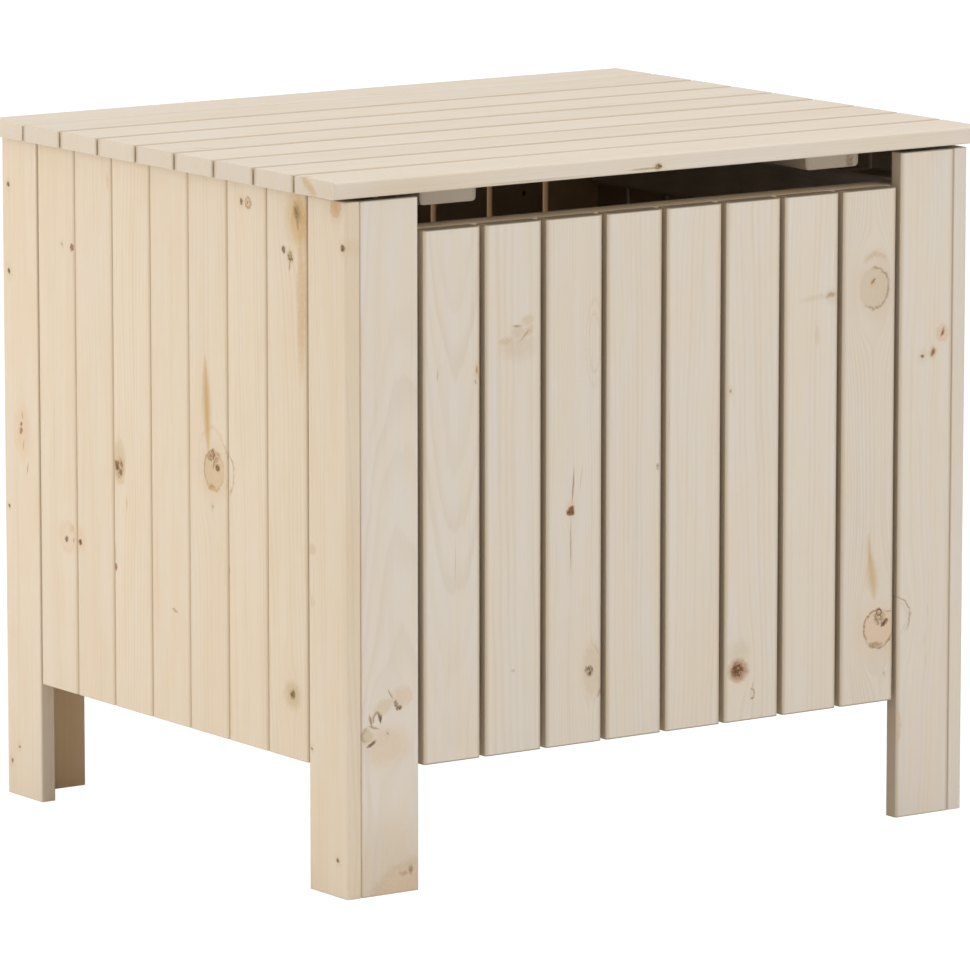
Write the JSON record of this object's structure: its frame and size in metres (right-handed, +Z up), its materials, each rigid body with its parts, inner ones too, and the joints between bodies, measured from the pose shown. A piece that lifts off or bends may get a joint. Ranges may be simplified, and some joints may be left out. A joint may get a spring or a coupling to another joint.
{
  "type": "toy box",
  "caption": "Slatted pine toy box on corner legs, with a slatted lid hinged at the back and a hand slot along the front.",
  "frame": {"origin": "on the floor, under the centre of the whole box with its hinges", "axes": "+X to the right seen from the front, +Y to the back, +Z up"},
  "size_m": [0.6, 0.4872, 0.5335],
  "materials": {
    "pine_front": "planed and unvarnished, a little greyer than the sides",
    "pine_side": "planed and unvarnished, warm and knotty",
    "pine_lid": "planed and unvarnished, pale",
    "pine_inside": "planed and unvarnished",
    "hinge_steel": "zinc-plated, satin"
  },
  "bodies": {
    "box": {"left_front_leg": "pine_side", "left_board_1": "pine_side", "left_board_2": "pine_side", "left_board_3": "pine_side", "left_board_4": "pine_side", "left_board_5": "pine_side", "left_board_6": "pine_side", "left_board_7": "pine_side", "left_rear_leg": "pine_side", "right_front_leg": "pine_side", "right_board_1": "pine_side", "right_board_2": "pine_side", "right_board_3": "pine_side", "right_board_4": "pine_side", "right_board_5": "pine_side", "right_board_6": "pine_side", "right_board_7": "pine_side", "right_rear_leg": "pine_side", "front_leg_left": "pine_front", "front_slat_1": "pine_front", "front_slat_2": "pine_front", "front_slat_3": "pine_front", "front_slat_4": "pine_front", "front_slat_5": "pine_front", "front_slat_6": "pine_front", "front_slat_7": "pine_front", "front_slat_8": "pine_front", "front_leg_right": "pine_front", "back_leg_left": "pine_front", "back_slat_1": "pine_front", "back_slat_2": "pine_front", "back_slat_3": "pine_front", "back_slat_4": "pine_front", "back_slat_5": "pine_front", "back_slat_6": "pine_front", "back_slat_7": "pine_front", "back_slat_8": "pine_front", "back_leg_right": "pine_front", "front_top_rail": "pine_inside", "back_top_rail": "pine_inside", "left_top_rail": "pine_inside", "right_top_rail": "pine_inside", "left_bottom_rail": "pine_inside", "right_bottom_rail": "pine_inside", "floor_panel": "pine_inside", "hinge_left_wall_leaf": "hinge_steel", "hinge_right_wall_leaf": "hinge_steel"},
    "lid": {"lid_board_1": "pine_lid", "lid_board_2": "pine_lid", "lid_board_3": "pine_lid", "lid_board_4": "pine_lid", "lid_board_5": "pine_lid", "lid_board_6": "pine_lid", "lid_board_7": "pine_lid", "lid_board_8": "pine_lid", "lid_board_9": "pine_lid", "lid_cleat_left": "pine_lid", "lid_cleat_right": "pine_lid", "hinge_left_lid_leaf": "hinge_steel", "hinge_right_lid_leaf": "hinge_steel"}
  },
  "joints": [
    {"name": "lid_hinge", "type": "hinge", "parent": "box", "child": "lid", "pos_m": [0, 0.2406, 0.52035], "axis": [-1, 0, 0], "range_deg": [0, 100]}
  ]
}
